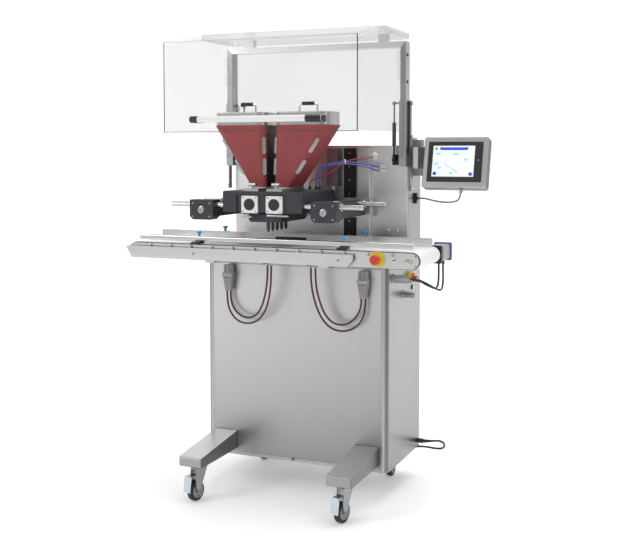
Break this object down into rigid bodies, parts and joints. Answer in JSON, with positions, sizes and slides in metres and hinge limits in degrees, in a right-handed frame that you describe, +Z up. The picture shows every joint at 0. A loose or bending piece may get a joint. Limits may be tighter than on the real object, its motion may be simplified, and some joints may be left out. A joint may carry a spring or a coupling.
{
  "type": "one-shot chocolate depositor",
  "caption": "Stainless one-shot chocolate depositor on casters: twin heated hoppers and gear pumps over a belt conveyor, under a lifting clear guard, with a swinging operator panel.",
  "frame": {"origin": "on the floor, under the middle of the whole machine without its mains cord", "axes": "+X along the belt towards the operator panel and belt motor, +Y from the front to the back, +Z up"},
  "size_m": [1.449, 1.0888, 1.875],
  "materials": {
    "stainless": "brushed",
    "bright_steel": "satin",
    "chrome": "polished",
    "frame_paint": "powder coat",
    "control_grey": "matte",
    "caster": "matte",
    "pedal": "matte",
    "belt_white": "matte",
    "guide_steel": "brushed",
    "motor_black": "matte",
    "foot_black": "matte",
    "yellow": "gloss",
    "red": "gloss",
    "head_anodised": "anodised",
    "pump_white": "matte",
    "gear_steel": "ground",
    "jacket": "satin",
    "clear": "clear",
    "guard_aluminium": "satin",
    "roof_grey": "satin",
    "handle_white": "satin",
    "spring_black": "satin",
    "bezel": "matte",
    "connector": "cast",
    "cable_red": "matte",
    "hose_blue": "satin",
    "thumb_blue": "satin",
    "cable_black": "matte",
    "cable_grey": "matte"
  },
  "bodies": {
    "base": {"cabinet_shell": "stainless", "steel_covers": "stainless", "tower_shell": "stainless", "base_frame": "frame_paint", "front_legs": "stainless", "control_box": "control_grey", "conveyor_frame": "bright_steel", "belt": "belt_white", "gearmotor": "motor_black", "belt_bed": "bright_steel", "guide_feet": "foot_black", "switch_bases": "yellow", "lift_column": "motor_black", "tower_brackets": "stainless", "gas_springs": "spring_black", "cable_fittings": "connector", "machine_cables": "cable_black", "head_lines": "hose_blue", "panel_cable": "cable_grey", "mains_cord": "cable_black", "mains_coil": "cable_black", "mains_plug": "cable_black"},
    "left_fork": {"left_caster_fork": "chrome"},
    "right_fork": {"right_caster_fork": "chrome"},
    "left_pedal": {"left_brake_pedal": "pedal"},
    "right_pedal": {"right_brake_pedal": "pedal"},
    "left_front_wheel": {"left_front_wheel": "caster"},
    "right_front_wheel": {"right_front_wheel": "caster"},
    "left_rear_wheel": {"left_rear_wheel": "caster"},
    "right_rear_wheel": {"right_rear_wheel": "caster"},
    "drive_roller": {"drive_roller": "guide_steel"},
    "idle_roller": {"idle_roller": "guide_steel"},
    "front_guide": {"front_guide": "guide_steel"},
    "back_guide": {"back_guide": "guide_steel"},
    "front_left_screw": {"front_left_screw": "thumb_blue"},
    "front_right_screw": {"front_right_screw": "thumb_blue"},
    "back_left_screw": {"back_left_screw": "thumb_blue"},
    "back_right_screw": {"back_right_screw": "thumb_blue"},
    "stop_button": {"stop_button": "red"},
    "switch_knob": {"switch_knob": "red"},
    "head": {"lift_carriage": "head_anodised", "head_arms": "head_anodised", "head_block": "head_anodised", "pump_covers": "pump_white", "nozzle_manifold": "head_anodised", "cross_rods": "bright_steel", "hoppers": "jacket", "hopper_trim": "bright_steel"},
    "left_lid": {"left_lid": "stainless"},
    "right_lid": {"right_lid": "stainless"},
    "left_drive_gear": {"left_drive_gear": "gear_steel"},
    "left_idler_gear": {"left_idler_gear": "gear_steel"},
    "right_drive_gear": {"right_drive_gear": "gear_steel"},
    "right_idler_gear": {"right_idler_gear": "gear_steel"},
    "guard": {"guard_frame": "guard_aluminium", "guard_screen": "clear", "guard_roof": "roof_grey", "guard_handle": "handle_white"},
    "panel": {"panel_housing": "stainless", "panel_front": "bezel"}
  },
  "joints": [
    {"name": "left_caster_swivel", "type": "hinge", "parent": "base", "child": "left_fork", "pos_m": [-0.3355, -0.255, 0.132], "axis": [0, 0, 1], "continuous": true},
    {"name": "left_front_wheel_roll", "type": "hinge", "parent": "left_fork", "child": "left_front_wheel", "pos_m": [-0.3401, -0.27344, 0.039], "axis": [0.9703, -0.2419, 0], "continuous": true},
    {"name": "left_brake_press", "type": "hinge", "parent": "left_fork", "child": "left_pedal", "pos_m": [-0.34131, -0.27829, 0.1], "axis": [0.9703, -0.2419, 0], "range_deg": [0, 6]},
    {"name": "left_rear_wheel_roll", "type": "hinge", "parent": "base", "child": "left_rear_wheel", "pos_m": [-0.3225, 0.328, 0.039], "axis": [1, 0, 0], "continuous": true},
    {"name": "right_caster_swivel", "type": "hinge", "parent": "base", "child": "right_fork", "pos_m": [0.2905, -0.255, 0.132], "axis": [0, 0, 1], "continuous": true},
    {"name": "right_front_wheel_roll", "type": "hinge", "parent": "right_fork", "child": "right_front_wheel", "pos_m": [0.2859, -0.27344, 0.039], "axis": [0.9703, -0.2419, 0], "continuous": true},
    {"name": "right_brake_press", "type": "hinge", "parent": "right_fork", "child": "right_pedal", "pos_m": [0.28469, -0.27829, 0.1], "axis": [0.9703, -0.2419, 0], "range_deg": [0, 6]},
    {"name": "right_rear_wheel_roll", "type": "hinge", "parent": "base", "child": "right_rear_wheel", "pos_m": [0.2775, 0.328, 0.039], "axis": [1, 0, 0], "continuous": true},
    {"name": "belt_drive", "type": "hinge", "parent": "base", "child": "drive_roller", "pos_m": [0.5145, -0.01, 0.981], "axis": [0, 1, 0], "continuous": true},
    {"name": "belt_return", "type": "hinge", "parent": "base", "child": "idle_roller", "pos_m": [-0.6895, -0.01, 0.981], "axis": [0, 1, 0], "continuous": true},
    {"name": "front_guide_set", "type": "slide", "parent": "base", "child": "front_guide", "axis": [0, 1, 0], "range_m": [-0.008, 0.008]},
    {"name": "back_guide_set", "type": "slide", "parent": "base", "child": "back_guide", "axis": [0, 1, 0], "range_m": [-0.008, 0.008]},
    {"name": "front_left_screw_turn", "type": "hinge", "parent": "front_guide", "child": "front_left_screw", "pos_m": [-0.4075, -0.115, 1.044], "axis": [0, 0, 1], "range_deg": [0, 360]},
    {"name": "back_left_screw_turn", "type": "hinge", "parent": "back_guide", "child": "back_left_screw", "pos_m": [-0.4075, 0.116, 1.05], "axis": [0, 0, 1], "range_deg": [0, 360]},
    {"name": "front_right_screw_turn", "type": "hinge", "parent": "front_guide", "child": "front_right_screw", "pos_m": [0.2325, -0.115, 1.044], "axis": [0, 0, 1], "range_deg": [0, 360]},
    {"name": "back_right_screw_turn", "type": "hinge", "parent": "back_guide", "child": "back_right_screw", "pos_m": [0.2325, 0.116, 1.05], "axis": [0, 0, 1], "range_deg": [0, 360]},
    {"name": "stop_press", "type": "slide", "parent": "base", "child": "stop_button", "axis": [0, 1, 0], "range_m": [0, 0.005], "stiffness_N_per_m": 1500},
    {"name": "main_switch_turn", "type": "hinge", "parent": "base", "child": "switch_knob", "pos_m": [0.4, 0.26, 0.87], "axis": [1, 0, 0], "range_deg": [0, 90]},
    {"name": "head_lift", "type": "slide", "parent": "base", "child": "head", "axis": [0, 0, 1], "range_m": [-0.02, 0.04], "deforming": ["head_lines"]},
    {"name": "left_lid_lift", "type": "slide", "parent": "head", "child": "left_lid", "axis": [0, 0, 1], "range_m": [0, 0.08]},
    {"name": "right_lid_lift", "type": "slide", "parent": "head", "child": "right_lid", "axis": [0, 0, 1], "range_m": [0, 0.08]},
    {"name": "left_pump_turn", "type": "hinge", "parent": "head", "child": "left_drive_gear", "pos_m": [-0.153, -0.15, 1.179], "axis": [0, 1, 0], "continuous": true},
    {"name": "left_pump_follow", "type": "hinge", "parent": "head", "child": "left_idler_gear", "pos_m": [-0.129, -0.15, 1.179], "axis": [0, 1, 0], "continuous": true},
    {"name": "right_pump_turn", "type": "hinge", "parent": "head", "child": "right_drive_gear", "pos_m": [-0.046, -0.15, 1.179], "axis": [0, 1, 0], "continuous": true},
    {"name": "right_pump_follow", "type": "hinge", "parent": "head", "child": "right_idler_gear", "pos_m": [-0.022, -0.15, 1.179], "axis": [0, 1, 0], "continuous": true},
    {"name": "guard_slide", "type": "slide", "parent": "base", "child": "guard", "axis": [0, 0, 1], "range_m": [-0.065, 0]},
    {"name": "panel_swing", "type": "hinge", "parent": "base", "child": "panel", "pos_m": [0.4095, 0.315, 1.345], "axis": [0, 0, 1], "range_deg": [-10, 60], "deforming": ["panel_cable"]}
  ],
  "couplings": [
    {"joint": "belt_return", "follows": "belt_drive", "ratio": 1},
    {"joint": "left_pump_follow", "follows": "left_pump_turn", "ratio": -1},
    {"joint": "right_pump_follow", "follows": "right_pump_turn", "ratio": -1}
  ]
}
